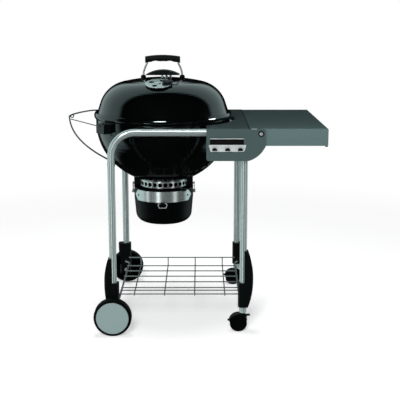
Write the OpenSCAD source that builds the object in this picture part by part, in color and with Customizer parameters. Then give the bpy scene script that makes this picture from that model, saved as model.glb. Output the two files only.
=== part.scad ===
// Kettle charcoal grill on a wheeled tube cart with a folding side table.
// Millimetres, +Z up, floor at Z 0, front towards -Y, table to the right (+X).

/* [Kettle] */
// Outer radius of the bowl
bowl_r = 284; // [240:1:320]
// Depth of the bowl below its widest level
bowl_depth = 260; // [215:1:300]
// Height of the bowl's widest level above the floor
bowl_z = 820; // [800:1:840]
// Wall of the enamelled bowl and lid
kettle_wall = 2; // [1.5:0.1:3]
// Radius of the rolled bead on the bowl's rim
rim_bead_r = 3.5; // [2.5:0.1:5]
// Height of the lid's widest level above the floor
lip_z = 853; // [849:1:865]
// Slope of the lid's skirt from the vertical
skirt_angle = 18; // [12:1:22]
// Knuckle radius between the lid's skirt and crown
knuckle_r = 130; // [100:1:150]
// Crown radius of the lid
crown_r = 780; // [650:1:900]
// Height of the lid's top above the floor
lid_top = 1010.5; // [985:0.5:1040]

/* [Lid fittings] */
// Radius of the round damper
damper_r = 55; // [45:1:60]
// Radius of each air hole
air_hole_r = 11; // [6:0.5:12]
// Half-distance between the feet of the lid handle
handle_foot_x = 82; // [75:1:100]
// Height of the grip's middle above the lid's top
grip_rise = 79.5; // [65:0.5:95]
// Length of the grip
grip_len = 147; // [120:1:160]
// Radius of the grip
grip_r = 13.5; // [10:0.5:16]
// Radius of the handle's rod
handle_rod_r = 4; // [3:0.25:5]

/* [Grates] */
// Room between the cooking grate and the bowl's rim
cook_grate_room = 14; // [12:1:40]
// Room between the charcoal grate and the bowl
coal_grate_room = 20.5; // [18:0.5:50]
// Height of the cooking grate above the floor
cook_grate_z = 812; // [795:1:822]
// Height of the charcoal grate above the floor
coal_grate_z = 672; // [665:1:700]

/* [Ash catcher] */
// Radius of the perforated vent ring
vent_ring_r = 103; // [90:1:106]
// Radius of each hole in the vent ring
vent_hole_r = 9; // [4:0.5:10]
// Number of holes in the vent ring
vent_hole_count = 28; // [12:2:30]
// Outer radius of the ash pot's rim
pot_r = 127; // [118:1:140]
// Depth of the ash pot
pot_depth = 154; // [120:1:170]
// Wall of the ash pot
pot_wall = 1.5; // [1:0.1:2.5]

/* [Cart] */
// Radius of the frame's tube
tube_r = 14.5; // [12:0.5:15]
// Wall of the frame's tube
tube_wall = 1.5; // [1:0.1:2.5]
// Distance of each tube frame from the kettle's axis
frame_y = 308; // [305:1:320]
// Distance of the left legs from the kettle's axis
left_leg_x = 194; // [180:1:210]
// Distance of the right legs from the kettle's axis
right_leg_x = 331; // [320:1:331]
// Height of the top rails above the floor
rail_z = 816; // [812:1:817]
// Bend radius of the tube frames
bend_r = 95; // [70:1:110]
// Radius of the large wheels
wheel_r = 76; // [65:1:85]
// Width of the large wheels
wheel_w = 44; // [36:1:50]
// Radius of the caster wheels
caster_r = 35; // [30:1:36]
// Height of the bottom rack above the floor
rack_z = 127; // [118:1:150]

/* [Table] */
// Height of the shelf and the table above the top rails' tube
table_rise = 4.5; // [3.5:0.25:14.5]
// Length of the folding table
table_len = 305; // [220:1:330]
// Distance of the side panels' outer faces from the frames' tubes' axes
panel_room = 32; // [28:1:38]
// Height of the folding table's skirt
skirt_h = 68; // [50:1:68]
// Sheet thickness of the shelf, the panels and the table
sheet = 1.5; // [1.2:0.1:2]

/* [Lid holder] */
// Radius of the holder's wire
holder_wire_r = 3.25; // [2.5:0.25:4]
// Radius of the holder's arc about the kettle's axis
holder_r = 400; // [370:1:420]
// Height of the holder's arc above the floor
holder_z = 844; // [835:1:860]

/* [Hidden] */
$fn = 96;

// Clearances
gap = 0.3;       // between pieces that move apart
seat = 0.1;      // between pieces that are bolted together
weld = 0.05;     // between crossed wires that are spot-welded
run = 0.06;      // radial clearance of a running shaft
eps = 1;         // overshoot of a cut
elbow_swell = 1.015; // an elbow's ball is a little fuller than the rod it joins

// The kettle's axis lies left of the middle, because the table reaches further out.
table_x0 = 352;                         // left edge of the folding table
table_x1 = table_x0 + table_len;        // right end of the folding table
holder_reach = holder_r + holder_wire_r;
kettle_x = (holder_reach - table_x1) / 2;

// Kettle
lip_bulge_r = 20;                       // bulge radius of the lid's lip
lip_r = bowl_r + 8;                     // widest radius of the lid's lip
lip_low = -42;                          // angles of the lip's bulge
lip_high = 38;
shoulder_z = lip_z + lip_bulge_r * sin(lip_high);
lid_r = lip_r - 14;                     // radius where the skirt starts
rim_z = shoulder_z - kettle_wall - gap - rim_bead_r;
crown_z = lid_top - crown_r;
knuckle_tilt = asin((lid_r * cos(skirt_angle) + (shoulder_z - crown_z) * sin(skirt_angle)
    - knuckle_r) / (crown_r - knuckle_r)) - skirt_angle;
knuckle_x = (crown_r - knuckle_r) * sin(knuckle_tilt);
knuckle_z = crown_z + (crown_r - knuckle_r) * cos(knuckle_tilt);

function lid_height_at(r) = crown_z + sqrt(crown_r * crown_r - r * r);
function bowl_low(r, inset) = bowl_z
    - (bowl_depth - inset) * sqrt(1 - pow(r / (bowl_r - inset), 2));

// Points of an arc, as [x, z], from one angle to another
function arc(x, z, r, from, to, n) =
    [for (i = [0:n]) let (a = from + (to - from) * i / n) [x + r * cos(a), z + r * sin(a)]];
function reversed(p) = [for (i = [len(p) - 1:-1:0]) p[i]];
// Point at share t of a quadratic curve
function curve_at(a, b, c, t) = (1 - t) * (1 - t) * a + 2 * t * (1 - t) * b + t * t * c;

module at_kettle() {
    translate([kettle_x, 0, 0]) children();
}

table_z = rail_z + tube_r + table_rise;
panel_y = frame_y + panel_room;
cook_grate_r = bowl_r - cook_grate_room;
coal_grate_r = bowl_r * sqrt(1 - pow((bowl_z - coal_grate_z) / bowl_depth, 2)) - coal_grate_room;

// A round bar from point a to point b
module bar(a, b, r) {
    d = b - a;
    length = norm(d);
    translate(a)
        rotate([0, acos(d[2] / length), atan2(d[1], d[0])])
            cylinder(r = r, h = length);
}

// A bent rod through a list of points, with round elbows
module rod(points, r) {
    for (i = [0:len(points) - 2]) bar(points[i], points[i + 1], r);
    for (i = [1:len(points) - 2]) translate(points[i]) sphere(r = r * elbow_swell);
}

function unit(v) = v / norm(v);

// A round wire swept along its centre points; across is a direction that the wire never follows
module swept_wire(p, r, sides, across) {
    last = len(p) - 1;
    rings = [for (i = [0:last]) let (
        t = unit(p[min(i + 1, last)] - p[max(i - 1, 0)]),
        u = unit(cross(t, across)),
        v = cross(u, t))
        for (k = [0:sides - 1]) p[i] + r * (u * cos(360 * k / sides) + v * sin(360 * k / sides))];
    walls = [for (i = [0:last - 1], k = [0:sides - 1]) let (n = (k + 1) % sides)
        for (tri = [[0, 1, 2], [0, 2, 3]]) let (
            q = [i * sides + k, i * sides + n, (i + 1) * sides + n, (i + 1) * sides + k])
            [q[tri[0]], q[tri[1]], q[tri[2]]]];
    polyhedron(rings, concat(walls, [[for (k = [sides - 1:-1:0]) k]],
        [[for (k = [0:sides - 1]) last * sides + k]]));
}

module both_sides() {
    children();
    mirror([0, 1, 0]) children();
}

// A plate with round corners, drawn flat
module rounded_plate(w, d, r) {
    square([w - 2 * r, d], center = true);
    square([w, d - 2 * r], center = true);
    for (x = [-1, 1], y = [-1, 1])
        translate([x * (w / 2 - r), y * (d / 2 - r)]) circle(r = r);
}

// ---------------------------------------------------------------- kettle

vent_slot_w = 36;      // ash openings in the bowl's bottom
vent_slot_r0 = 48;
vent_slot_r1 = 78;
shaft_r = 5;           // the sweeper's shaft

// Section of the bowl's wall, inset from its outer face
function bowl_curve(inset) =
    [for (i = [0:24]) let (a = -90 + 90 * i / 24)
        [(bowl_r - inset) * cos(a), bowl_z + (bowl_depth - inset) * sin(a)]];

module bowl_shape(inset, top) {
    rotate_extrude($fn = 128)
        polygon(concat(bowl_curve(inset), [[bowl_r - inset, top], [0, top]]));
}

module bowl() {
    color([0.03, 0.03, 0.03]) at_kettle() difference() {
        union() {
            rotate_extrude($fn = 128)
                polygon(concat(bowl_curve(0), [[bowl_r, rim_z], [bowl_r - kettle_wall, rim_z]],
                    reversed(bowl_curve(kettle_wall))));
            rotate_extrude($fn = 128)
                translate([bowl_r - rim_bead_r / 2, rim_z]) circle(r = rim_bead_r, $fn = 32);
        }
        for (a = [90:120:330]) rotate([0, 0, a]) translate([0, 0, bowl_z - bowl_depth - eps]) {
            translate([vent_slot_r0, 0, 0]) cylinder(d = vent_slot_w, h = 40);
            translate([vent_slot_r1, 0, 0]) cylinder(d = vent_slot_w, h = 40);
            translate([vent_slot_r0, -vent_slot_w / 2, 0])
                cube([vent_slot_r1 - vent_slot_r0, vent_slot_w, 40]);
        }
        translate([0, 0, bowl_z - bowl_depth - eps]) cylinder(r = shaft_r + 1, h = 10);
    }
}

tab_w = 26;            // grate tabs: width, ledge depth and sheet
tab_ledge = 16;
tab_sheet = 2.5;
grate_rod_r = 2.5;
grate_rim_r = 3.5;

// A ledge welded inside the bowl under a grate of radius r at height z
module grate_tab(r, z) {
    intersection() {
        bowl_shape(kettle_wall + seat, rim_z);
        translate([r - tab_ledge, -tab_w / 2, 0]) {
            translate([0, 0, z - tab_sheet]) cube([60, tab_w, tab_sheet]);
            translate([tab_ledge - 3, tab_w / 2 - tab_sheet / 2, z - 20])
                cube([60, tab_sheet, 20]);
        }
    }
}

module grate_tabs() {
    color([0.25, 0.25, 0.25]) at_kettle() for (a = [45:90:315]) rotate([0, 0, a]) {
        grate_tab(cook_grate_r, cook_grate_z - grate_rim_r - seat);
        grate_tab(coal_grate_r, coal_grate_z - grate_rim_r - seat);
    }
}

// A round wire grate: a rim, parallel rods on it and two stays under the rods
module wire_grate(r, z, pitch, rod_r) {
    count = floor((r - 8) / pitch);
    rod_z = z + grate_rim_r + rod_r + weld;
    translate([0, 0, z]) rotate_extrude()
        translate([r - grate_rim_r, 0]) circle(r = grate_rim_r, $fn = 24);
    for (i = [-count:count]) {
        reach = sqrt(pow(r - grate_rim_r, 2) - pow(i * pitch, 2));
        bar([i * pitch, -reach, rod_z], [i * pitch, reach, rod_z], rod_r);
    }
    for (s = [-1, 1]) {
        reach = sqrt(pow(r - grate_rim_r, 2) - pow(r / 2, 2));
        stay_z = rod_z - 2 * rod_r - weld;
        bar([-reach + 8, s * r / 2, stay_z], [reach - 8, s * r / 2, stay_z], rod_r);
    }
}

module charcoal_grate() {
    color([0.45, 0.45, 0.45]) at_kettle() wire_grate(coal_grate_r, coal_grate_z, 28, 3);
}

module cooking_grate() {
    color([0.75, 0.75, 0.76]) at_kettle() wire_grate(cook_grate_r, cook_grate_z, 21, grate_rod_r);
}

// ---------------------------------------------------------------- lid

function dome_curve(inset) = concat(
    [[0, lid_top - inset]],
    arc(0, crown_z, crown_r - inset, 90 - knuckle_tilt / 6, 90 - knuckle_tilt, 5),
    arc(knuckle_x, knuckle_z, knuckle_r - inset, 90 - knuckle_tilt - 4, skirt_angle, 14));

module dome_shape(inset) {
    rotate_extrude($fn = 128)
        polygon(concat(dome_curve(inset), [[lid_r - inset, shoulder_z], [0, shoulder_z]]));
}

// Places its children on the damper's axis, square to the lid, at its seat
damper_dist = 165;         // distance of the damper from the kettle's axis
damper_side = -10;         // its sideways shift
damper_turn = atan2(-damper_dist, damper_side);
damper_tilt = asin(damper_dist / crown_r) + 3;
seat_rise = 3;             // the pressed seat stands this far off the lid
damper_sheet = 1.2;
air_hole_ring = 33;        // radius of the circle of air holes
air_hole_turn = 63;

module at_damper() {
    at_kettle() rotate([0, 0, damper_turn])
        translate([damper_dist, 0, lid_height_at(damper_dist) + seat_rise])
            rotate([0, damper_tilt, 0]) rotate([0, 0, -damper_turn]) children();
}

module air_holes(low, high) {
    for (i = [0:3]) rotate([0, 0, air_hole_turn + 90 * i])
        translate([air_hole_ring, 0, low]) cylinder(r = air_hole_r, h = high - low, $fn = 48);
}

rivet_r = 4;

module lid() {
    seat_plate_r = damper_r - 3;
    color([0.03, 0.03, 0.03]) difference() {
        union() {
            at_kettle() rotate_extrude($fn = 128) polygon(concat(
                dome_curve(0),
                [[lid_r, shoulder_z]],
                arc(lip_r - lip_bulge_r, lip_z, lip_bulge_r, lip_high, lip_low, 10),
                arc(lip_r - lip_bulge_r, lip_z, lip_bulge_r - kettle_wall, lip_low, lip_high, 10),
                [[lid_r - kettle_wall, shoulder_z - kettle_wall]],
                reversed(dome_curve(kettle_wall))));
            difference() {
                at_damper() translate([0, 0, -20])
                    cylinder(r = seat_plate_r, h = 20);
                at_damper() translate([0, 0, -20 - kettle_wall])
                    cylinder(r = seat_plate_r - kettle_wall, h = 20);
                at_kettle() dome_shape(kettle_wall / 2);
            }
        }
        at_damper() air_holes(-30, eps);
        at_damper() translate([0, 0, -30]) cylinder(r = rivet_r + seat, h = 40);
    }
}

module damper_disc() {
    color([0.78, 0.78, 0.79]) at_damper() difference() {
        union() {
            translate([0, 0, gap]) cylinder(r = damper_r, h = damper_sheet);
            translate([0, 0, gap]) cylinder(r = 10, h = damper_sheet + 1.2);
        }
        air_holes(-eps, 5);
        translate([0, 0, -eps]) cylinder(r = rivet_r + run, h = 8);
    }
}

tab_x = 36;               // thumb tab of the damper, off its axis
tab_len = 42;

module damper_tab() {
    tab_z = gap + damper_sheet + seat;
    color([0.05, 0.05, 0.05]) at_damper() translate([tab_x, 0, tab_z]) difference() {
        union() {
            linear_extrude(height = 5) rounded_plate(tab_len, 46, 8);
            linear_extrude(height = 11) rounded_plate(tab_len - 12, 30, 6);
        }
        // thumb hollow on its top, and room for the rivet's collar
        translate([0, 0, 31]) rotate([90, 0, 0]) cylinder(r = 23, h = 60, center = true);
        translate([-tab_x, 0, -eps]) cylinder(r = 15.5, h = 20);
        translate([-tab_x, 0, 0]) for (i = [0:3]) air_hole_relief(i);
    }
}

// The tab stays off the disc's open air holes by a chamfered relief
module air_hole_relief(i) {
    rotate([0, 0, air_hole_turn + 90 * i])
        translate([air_hole_ring, 0, -eps]) cylinder(r = air_hole_r - 3, h = 4, $fn = 48);
}

module damper_rivet() {
    head_z = gap + damper_sheet + 1.2 + gap;
    color([0.7, 0.7, 0.7]) at_damper() {
        translate([0, 0, -8]) cylinder(r = rivet_r, h = head_z + 8);
        translate([0, 0, head_z]) cylinder(r = 8, h = 1.5);
        translate([0, 0, head_z + 1.5]) cylinder(r1 = 8, r2 = 5, h = 2);
    }
}

// Handle: a bent rod in two feet, a padded grip and a shield against the lid's heat
grip_z = lid_top + grip_rise;            // middle of the grip
grip_arch_r = 413;
rod_bend_x = 66;
foot_base_z = lid_height_at(handle_foot_x + 11);
foot_top_z = lid_top + 9;
// The rod on one side, from its foot up into the grip
handle_points = [for (p = [[handle_foot_x, foot_top_z - 7], [handle_foot_x - 1, foot_top_z + 12],
    [74, grip_z - 38], [rod_bend_x, grip_z - 22], [rod_bend_x, grip_z - 2]]) [p[0], 0, p[1]]];

module handle_rod() {
    color([0.75, 0.75, 0.75]) at_kettle() for (s = [0, 1]) mirror([s, 0, 0])
        rod(handle_points, handle_rod_r, $fn = 32);
}

module handle_grip() {
    half_turn = asin(grip_len / 2 / grip_arch_r);
    scoop_r = 34;
    color([0.04, 0.04, 0.04]) at_kettle() difference() {
        union() {
            translate([0, 0, grip_z - grip_arch_r]) rotate([90, 0, 0])
                rotate([0, 0, 89 - half_turn])
                    rotate_extrude(angle = 2 * half_turn + 2, $fn = 360)
                        translate([grip_arch_r, 0]) circle(r = grip_r);
        }
        // finger scoops on the underside
        for (s = [-1, 1])
            translate([s * grip_len / 5, 0, grip_z - grip_r - scoop_r + 2])
                rotate([90, 0, 0]) cylinder(r = scoop_r, h = 60, center = true);
        // the ends are cut square to the length
        for (s = [-1, 1]) translate([s * (grip_len / 2 + 20), 0, grip_z]) cube([40, 60, 60], center = true);
        for (s = [-1, 1]) translate([s * rod_bend_x, 0, grip_z - 30])
            cylinder(r = handle_rod_r + seat, h = 28 + seat, $fn = 32);
    }
}

foot_r = 11;

module handle_feet() {
    color([0.05, 0.05, 0.05]) at_kettle() difference() {
        for (s = [-1, 1]) translate([s * handle_foot_x, 0, 0]) {
            translate([0, 0, foot_base_z - 4]) cylinder(r = foot_r, h = foot_top_z - 5 - foot_base_z + 4);
            translate([0, 0, foot_top_z - 5]) cylinder(r1 = foot_r, r2 = foot_r - 3, h = 5);
        }
        dome_shape(-seat);
        for (s = [-1, 1]) translate([s * handle_foot_x, 0, foot_top_z - 7 - seat])
            cylinder(r = handle_rod_r + 0.6, h = 20, $fn = 32);
    }
}

shield_half = handle_foot_x - foot_r - 0.2;
shield_depth = 92;
shield_top = lid_top + 29.5;
shield_low = lid_top + 10.5;
shield_sheet = 1.5;
shield_arch_r = (pow(shield_half, 2) + pow(shield_top - shield_low, 2))
    / (2 * (shield_top - shield_low));

// Slice of a lying cylinder above the shield's lower edge
module shield_arch(inset, depth, low) {
    intersection() {
        translate([0, 0, shield_top - shield_arch_r]) rotate([90, 0, 0])
            cylinder(r = shield_arch_r - inset, h = depth, center = true, $fn = 180);
        translate([-shield_half - 5, -depth / 2, low])
            cube([2 * shield_half + 10, depth, shield_top - low]);
    }
}

module heat_shield() {
    color([0.2, 0.2, 0.2]) at_kettle() difference() {
        shield_arch(0, shield_depth, shield_low);
        shield_arch(shield_sheet, shield_depth - 2 * shield_sheet, shield_low - eps);
    }
}

spacer_x = 15;
spacer_r = 23.5;

module shield_spacer() {
    spacer_top = shield_top - shield_arch_r - 0.2
        + sqrt(pow(shield_arch_r - shield_sheet, 2) - pow(spacer_x + spacer_r, 2));
    color([0.8, 0.8, 0.8]) at_kettle() difference() {
        translate([spacer_x, 0, lid_top - 6]) cylinder(r = spacer_r, h = spacer_top - lid_top + 6);
        translate([spacer_x, 0, lid_top - 7])
            cylinder(r = spacer_r - 2, h = spacer_top - lid_top + 7 - 2);
        for (x = [-9, 9]) translate([spacer_x + x, 0, lid_top + 5]) rotate([90, 0, 0])
            cylinder(r = 5, h = 80, center = true, $fn = 32);
        dome_shape(-seat);
    }
}

// ---------------------------------------------------------------- ash catcher

ring_wall = 1.5;
ring_top = bowl_low(vent_ring_r - ring_wall, 0) - seat;
ring_low = ring_top - 28;
pot_top = ring_low - 5;
pot_bottom = pot_top - pot_depth;
pot_corner_r = 42;

module vent_ring() {
    color([0.8, 0.8, 0.8]) at_kettle() difference() {
        translate([0, 0, ring_low]) cylinder(r = vent_ring_r, h = ring_top - ring_low);
        translate([0, 0, ring_low - eps])
            cylinder(r = vent_ring_r - ring_wall, h = ring_top - ring_low + 2 * eps);
        for (i = [0:vent_hole_count - 1]) rotate([0, 0, (i + 0.5) * 360 / vent_hole_count])
            translate([vent_ring_r - 8, 0, (ring_top + ring_low) / 2]) rotate([0, 90, 0])
                cylinder(r = vent_hole_r, h = 16, $fn = 32);
    }
}

bracket_in = vent_ring_r + seat;
bracket_out = pot_r - 1;
lug_z = pot_top + 8;
pin_z = pot_top - 24;
pin_reach = 11;

module catcher_bracket() {
    difference() {
        translate([bracket_in - 12, -24, ring_low]) cube([bracket_out - bracket_in + 12, 48, 50]);
        translate([0, 0, ring_low - eps]) cylinder(r = bracket_in, h = 60);
        bowl_shape(-seat, rim_z);
        translate([bracket_in + 6, -20, ring_low - eps]) cube([bracket_out, 40, 22]);
    }
    translate([bracket_out - 8, -9, lug_z]) cube([12, 18, 4]);
    // stop that the pot's rim is pulled up against
    translate([bracket_out - 6, -9, pot_top + seat]) cube([6, 18, lug_z - pot_top]);
    translate([bracket_in + 2, -9, lug_z]) cube([bracket_out - bracket_in - 4, 18, 4]);
}

module catcher_brackets() {
    color([0.05, 0.05, 0.05]) at_kettle() for (a = [0, 180]) rotate([0, 0, a]) catcher_bracket();
}

blade_angle = 36;
blade_lift = 0.6;
lever_angle = -49;
lever_z = (ring_low + pot_top) / 2;
lever_sheet = 2.6;

// Blades that follow the bowl's bottom, on one hub and shaft
module sweeper_blades() {
    n = 8;
    from = 12;
    reach = bowl_r * 0.4;
    function low_curve(lift) = [for (i = [0:n]) let (r = from + (reach - from) * i / n)
        [r, bowl_low(r, kettle_wall) + lift]];
    hub_z = bowl_low(from, kettle_wall) + blade_lift;
    color([0.6, 0.6, 0.6]) at_kettle() {
        for (a = [30:120:270]) rotate([0, 0, a - blade_angle / 2])
            rotate_extrude(angle = blade_angle)
                polygon(concat(low_curve(blade_lift), reversed(low_curve(blade_lift + 2))));
        translate([0, 0, hub_z]) cylinder(r = 18, h = 5);
        translate([0, 0, lever_z + lever_sheet / 2]) cylinder(r = shaft_r, h = hub_z - lever_z + 4);
    }
}

module sweeper_lever() {
    color([0.06, 0.06, 0.06]) at_kettle() rotate([0, 0, lever_angle])
        translate([0, 0, lever_z - lever_sheet / 2]) {
            cylinder(r = 14, h = lever_sheet - seat);
            translate([0, -8, 0]) cube([pot_r + 6, 16, lever_sheet - seat]);
            translate([pot_r + 12, 0, -5]) cylinder(r = 9, h = lever_sheet + 9);
        }
}

function pot_curve(inset) = concat(
    [[0, pot_bottom + inset]],
    arc(pot_r - 6 - pot_corner_r, pot_bottom + pot_corner_r, pot_corner_r - inset, -90, 0, 10),
    [[pot_r - inset, pot_top - 44], [pot_r - inset, pot_top]]);

module ash_pot() {
    color([0.03, 0.03, 0.03]) at_kettle() {
        rotate_extrude() polygon(concat(pot_curve(0), reversed(pot_curve(pot_wall))));
        rotate_extrude() translate([pot_r - pot_wall / 2, pot_top - 2]) circle(r = 2, $fn = 24);
    }
}

// The band is bent round the front of the pot and ends in a point at each side
module pot_band() {
    half = 107;
    point = 119;
    band_low = -50;
    band_high = -4.5;
    color([0.8, 0.8, 0.8]) at_kettle() intersection() {
        difference() {
            translate([0, 0, pot_top + band_low]) cylinder(r = pot_r + 1.5, h = band_high - band_low);
            translate([0, 0, pot_top + band_low - eps]) cylinder(r = pot_r + seat, h = 60);
            for (x = [-104, 104]) translate([x, 0, pot_top - 27]) rotate([90, 0, 0])
                cylinder(r = 3.5, h = 200, $fn = 32);
        }
        rotate([90, 0, 0]) linear_extrude(height = 2 * pot_r) polygon([
            [-half, pot_top + band_low], [half, pot_top + band_low],
            [point, pot_top + (band_low + band_high) / 2], [half, pot_top + band_high],
            [-half, pot_top + band_high], [-point, pot_top + (band_low + band_high) / 2]]);
    }
}

clip_half = 15;
clip_wire_r = 1.6;
clip_x = pot_r + 5.5;
clip_rise = lug_z + 4 + clip_wire_r + gap - pin_z;

// An ear on the pot with two stub pins for the clip
module clip_pins() {
    color([0.5, 0.5, 0.5]) at_kettle() for (a = [0, 180]) rotate([0, 0, a]) difference() {
        union() {
            translate([pot_r - 4, -9, pin_z - 6]) cube([pin_reach + 2, 18, 12]);
            translate([clip_x, 0, pin_z]) rotate([90, 0, 0])
                cylinder(r = 2.5, h = 2 * clip_half + 8, center = true, $fn = 32);
        }
        translate([0, 0, pin_z - 20]) cylinder(r = pot_r + seat, h = 40);
    }
}

// A wire clip: two arms that turn on the pins and a bar that hooks over the lug
module clip() {
    for (s = [-1, 1]) {
        difference() {
            translate([clip_x, s * (clip_half - 1.6), pin_z]) rotate([90, 0, 0])
                cylinder(r = 5, h = 3.2, center = true, $fn = 32);
            translate([clip_x, s * clip_half, pin_z]) rotate([90, 0, 0])
                cylinder(r = 2.5 + run, h = 12, center = true, $fn = 32);
        }
        bar([clip_x, s * (clip_half - 1.6), pin_z + 4],
            [clip_x, s * (clip_half - 1.6), pin_z + clip_rise], clip_wire_r);
    }
    bar([clip_x, -clip_half + 1.6, pin_z + clip_rise],
        [clip_x, clip_half - 1.6, pin_z + clip_rise], clip_wire_r);
}

module clip_left() {
    color([0.5, 0.5, 0.5]) at_kettle() rotate([0, 0, 180]) clip();
}

module clip_right() {
    color([0.5, 0.5, 0.5]) at_kettle() clip();
}

pull_z = pot_top - 53;
pull_y = -(pot_r + 5);
pull_w = 38;
pull_wire_r = 1.9;

module pull_block() {
    color([0.04, 0.04, 0.04]) at_kettle() difference() {
        translate([-9, pull_y - 4.5, pull_z - 4.5]) cube([18, 12, 9]);
        translate([0, pull_y, pull_z]) rotate([0, 90, 0])
            cylinder(r = pull_wire_r + run, h = 40, center = true, $fn = 32);
        translate([0, 0, pull_z - 30]) cylinder(r = pot_r + 1.5 + seat, h = 60);
    }
}

module pull_ring() {
    drop = 19;
    color([0.4, 0.4, 0.4]) at_kettle() {
        rod([[-pull_w / 2 + 4, pull_y, pull_z], [-pull_w / 2, pull_y, pull_z - 6],
             [-pull_w / 2 + 5, pull_y, pull_z - drop], [pull_w / 2 - 5, pull_y, pull_z - drop],
             [pull_w / 2, pull_y, pull_z - 6], [pull_w / 2 - 4, pull_y, pull_z]], pull_wire_r,
            $fn = 32);
        bar([-pull_w / 2 + 4, pull_y, pull_z], [pull_w / 2 - 4, pull_y, pull_z], pull_wire_r,
            $fn = 32);
        for (s = [-1, 1]) translate([s * (pull_w / 2 - 4), pull_y, pull_z])
            sphere(r = pull_wire_r, $fn = 32);
    }
}

// ---------------------------------------------------------------- frame

left_tube_low = wheel_r + 24;
right_tube_low = 2 * caster_r + 8;

// One frame tube: two legs, two bends and the top rail
module tube_path(r) {
    bend_z = rail_z - bend_r;
    translate([-left_leg_x, 0, left_tube_low]) cylinder(r = r, h = bend_z - left_tube_low);
    translate([right_leg_x, 0, right_tube_low]) cylinder(r = r, h = bend_z - right_tube_low);
    translate([-left_leg_x + bend_r, 0, bend_z]) rotate([90, 0, 0]) rotate([0, 0, 90])
        rotate_extrude(angle = 90) translate([bend_r, 0]) circle(r = r, $fn = 48);
    translate([right_leg_x - bend_r, 0, bend_z]) rotate([90, 0, 0])
        rotate_extrude(angle = 90) translate([bend_r, 0]) circle(r = r, $fn = 48);
    translate([-left_leg_x + bend_r, 0, rail_z]) rotate([0, 90, 0])
        cylinder(r = r, h = left_leg_x + right_leg_x - 2 * bend_r);
}

module tube_frame() {
    at_kettle() translate([0, -frame_y, 0]) difference() {
        tube_path(tube_r);
        // the tube is open at its lower ends
        for (leg = [[-left_leg_x, left_tube_low], [right_leg_x, right_tube_low]])
            translate([leg[0], 0, leg[1] - eps]) cylinder(r = tube_r - tube_wall, h = 120);
    }
}

module front_frame() {
    color([0.72, 0.74, 0.73]) tube_frame();
}

module rear_frame() {
    color([0.72, 0.74, 0.73]) mirror([0, 1, 0]) tube_frame();
}

bracket_x = 100;
bracket_w = 30;
bracket_low = rail_z - tube_r - 6;

module bowl_brackets() {
    color([0.05, 0.05, 0.05]) at_kettle() both_sides() for (x = [-bracket_x + 8, bracket_x])
        difference() {
            translate([x - bracket_w / 2, -frame_y - 1, bracket_low])
                cube([bracket_w, frame_y - bowl_r * 0.7, rail_z - bracket_low + 4]);
            bowl_shape(-seat, rim_z);
            bowl_shape(kettle_wall, rim_z);
            translate([0, -frame_y, 0]) tube_path(tube_r + seat);
            translate([x - bracket_w, -bowl_r * 0.86, bracket_low - eps])
                cube([2 * bracket_w, bowl_r, 60]);
        }
}

module bracket_bolts() {
    color([0.8, 0.8, 0.8]) at_kettle() both_sides() for (x = [-bracket_x + 8, bracket_x])
        translate([x, -frame_y + tube_r + 8, rail_z + 4 + seat]) {
            cylinder(r = 5, h = 1.2);
            translate([0, 0, 1.2]) cylinder(r1 = 4.6, r2 = 2.6, h = 2.4);
        }
}

fin_r = 330;           // outer curve of the leg sleeves
sleeve_d = 40;
axle_r = 6;

// A moulded leg sleeve: a socket round the tube with a leaf-shaped outer fin
module leg_sleeve(leg_x, reach, low, socket_top, fin_top, inner) {
    middle = (low + fin_top) / 2;
    difference() {
        intersection() {
            translate([leg_x - inner, -sleeve_d / 2, low])
                cube([reach + inner, sleeve_d, fin_top - low]);
            translate([leg_x + reach - fin_r, 0, middle]) rotate([90, 0, 0])
                cylinder(r = fin_r, h = 2 * sleeve_d, center = true, $fn = 180);
            translate([leg_x + (reach - inner) / 2, 0, low]) linear_extrude(height = fin_top)
                rounded_plate(reach + inner, sleeve_d, 12);
        }
        translate([leg_x, 0, low - eps]) cylinder(r = tube_r + seat, h = fin_top);
        translate([leg_x - inner - eps, -sleeve_d, socket_top])
            cube([inner + 6, 2 * sleeve_d, fin_top]);
    }
}

left_socket_top = 204;
right_socket_top = 205;

module left_sleeve() {
    difference() {
        union() {
            mirror([1, 0, 0]) leg_sleeve(left_leg_x, reach = 36, low = wheel_r + 22,
                socket_top = left_socket_top, fin_top = 306, inner = 23);
            translate([-left_leg_x, 0, wheel_r - 18]) linear_extrude(height = 41)
                translate([-4, 0]) rounded_plate(50, 34, 10);
        }
        translate([-left_leg_x, 0, wheel_r]) rotate([90, 0, 0])
            cylinder(r = axle_r + seat, h = 80, center = true, $fn = 48);
    }
}

module right_sleeve() {
    leg_sleeve(right_leg_x, reach = 41, low = 103, socket_top = right_socket_top,
        fin_top = 337, inner = 20);
}

// The rear sleeves end square at the socket
module without_fin(socket_top) {
    difference() {
        children();
        translate([-500, -60, socket_top]) cube([1000, 120, 200]);
    }
}

module at_leg(side) {
    at_kettle() translate([0, side * frame_y, 0]) children();
}

module sleeve_front_left() {
    color([0.05, 0.05, 0.05]) at_leg(-1) left_sleeve();
}

module sleeve_rear_left() {
    color([0.05, 0.05, 0.05]) at_leg(1) mirror([0, 1, 0])
        without_fin(left_socket_top) left_sleeve();
}

module sleeve_front_right() {
    color([0.05, 0.05, 0.05]) at_leg(-1) right_sleeve();
}

module sleeve_rear_right() {
    color([0.05, 0.05, 0.05]) at_leg(1) mirror([0, 1, 0])
        without_fin(right_socket_top) right_sleeve();
}

rack_wire_r = 2.5;
rack_rail_r = 4;
rack_x0 = -left_leg_x + 14;
rack_x1 = right_leg_x - 7;
rack_rear_y = 190;
rack_rise = 37;
rack_front_y = -242;

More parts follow.
